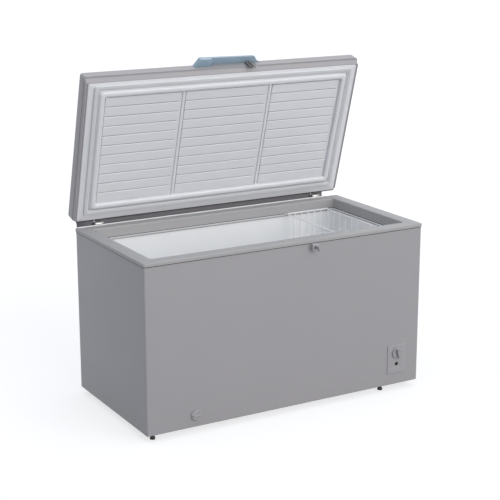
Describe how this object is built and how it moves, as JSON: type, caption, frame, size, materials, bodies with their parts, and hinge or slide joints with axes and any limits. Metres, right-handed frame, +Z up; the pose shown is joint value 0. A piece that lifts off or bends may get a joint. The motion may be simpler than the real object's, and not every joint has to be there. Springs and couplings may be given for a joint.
{
  "type": "chest freezer",
  "caption": "Grey steel chest freezer with a hinged insulated lid held open, a wire basket, a front lock, a thermostat knob, a drain plug and levelling feet.",
  "frame": {"origin": "on the floor, under the middle of the cabinet", "axes": "+X to the right of the front, +Y to the back, +Z up"},
  "size_m": [1.406, 0.8321, 1.5203],
  "materials": {
    "wrap_paint": "satin grey coated steel",
    "galvanised": "zinc-coated sheet",
    "foam": "closed-cell foam",
    "liner_sheet": "white coated embossed sheet",
    "rim_plastic": "grey moulded plastic",
    "lid_plastic": "pale grey moulded plastic",
    "gasket_rubber": "soft grey seal",
    "handle_plastic": "blue-grey moulded plastic",
    "hinge_steel": "bright zinc plate",
    "rail_steel": "dark coated steel",
    "lock_metal": "bright plated metal",
    "control_plastic": "grey moulded plastic",
    "lamp_dark": "dark lens",
    "drain_plastic": "grey moulded plastic",
    "basket_wire": "white coated wire",
    "compressor_paint": "black enamel",
    "black_rubber": "black rubber",
    "black_plastic": "black moulded plastic",
    "vent_plastic": "grey moulded plastic",
    "copper": "bare copper",
    "nut_steel": "zinc plate"
  },
  "bodies": {
    "cabinet": {"back_panel": "galvanised", "base_pan": "galvanised", "cabinet_wrap": "wrap_paint", "compressor_bay_panel": "galvanised", "compressor_bracket": "compressor_paint", "compressor_grommets": "black_rubber", "compressor_shell": "compressor_paint", "compressor_tray": "galvanised", "condenser_tubing": "copper", "control_plate": "control_plastic", "cord_gland": "black_rubber", "discharge_pipe": "copper", "drain_pipe": "drain_plastic", "evaporator_tubing": "copper", "filter_drier": "copper", "foot_nuts": "nut_steel", "indicator_lamp": "lamp_dark", "inner_liner": "liner_sheet", "left_hinge_bracket": "hinge_steel", "left_hinge_pin": "hinge_steel", "liquid_pipes": "copper", "lock_body": "lock_metal", "rear_bay_cover": "galvanised", "rear_hinge_rail": "rail_steel", "relay_cover": "black_plastic", "right_hinge_bracket": "hinge_steel", "right_hinge_pin": "hinge_steel", "side_vent": "vent_plastic", "suction_pipe": "copper", "thermostat": "black_plastic", "top_rim": "rim_plastic", "wall_insulation": "foam"},
    "lid": {"lid_skin": "wrap_paint", "lid_insulation": "foam", "lid_frame": "lid_plastic", "lid_liner": "lid_plastic", "lid_gasket": "gasket_rubber", "lid_handle": "handle_plastic", "lock_striker": "hinge_steel", "left_hinge_leaf": "hinge_steel", "right_hinge_leaf": "hinge_steel"},
    "basket": {"wire_basket": "basket_wire"},
    "thermostat_dial": {"thermostat_knob": "control_plastic"},
    "drain_cap": {"drain_plug": "drain_plastic"},
    "lock_cylinder": {"lock_barrel": "lock_metal", "lock_key": "lock_metal"},
    "front_left_leveller": {"front_left_foot": "black_plastic"},
    "front_right_leveller": {"front_right_foot": "black_plastic"},
    "rear_left_leveller": {"rear_left_foot": "black_plastic"},
    "rear_right_leveller": {"rear_right_foot": "black_plastic"}
  },
  "joints": [
    {"name": "lid_hinge", "type": "hinge", "parent": "cabinet", "child": "lid", "pos_m": [0, 0.364, 0.786], "axis": [-1, 0, 0], "range_deg": [-74, 6]},
    {"name": "basket_slide", "type": "slide", "parent": "cabinet", "child": "basket", "axis": [1, 0, 0], "range_m": [-0.975, 0.02]},
    {"name": "thermostat_turn", "type": "hinge", "parent": "cabinet", "child": "thermostat_dial", "pos_m": [0.578, -0.35, 0.183], "axis": [0, 1, 0], "range_deg": [-30, 240]},
    {"name": "drain_pull", "type": "slide", "parent": "cabinet", "child": "drain_cap", "axis": [0, -1, 0], "range_m": [0, 0.03]},
    {"name": "lock_turn", "type": "hinge", "parent": "cabinet", "child": "lock_cylinder", "pos_m": [0.115, -0.35, 0.749], "axis": [0, 1, 0], "range_deg": [0, 90]},
    {"name": "front_left_foot_turn", "type": "hinge", "parent": "cabinet", "child": "front_left_leveller", "pos_m": [-0.656, -0.31, 0], "axis": [0, 0, 1], "continuous": true},
    {"name": "front_right_foot_turn", "type": "hinge", "parent": "cabinet", "child": "front_right_leveller", "pos_m": [0.518, -0.31, 0], "axis": [0, 0, 1], "continuous": true},
    {"name": "rear_left_foot_turn", "type": "hinge", "parent": "cabinet", "child": "rear_left_leveller", "pos_m": [-0.656, 0.31, 0], "axis": [0, 0, 1], "continuous": true},
    {"name": "rear_right_foot_turn", "type": "hinge", "parent": "cabinet", "child": "rear_right_leveller", "pos_m": [0.518, 0.31, 0], "axis": [0, 0, 1], "continuous": true}
  ]
}
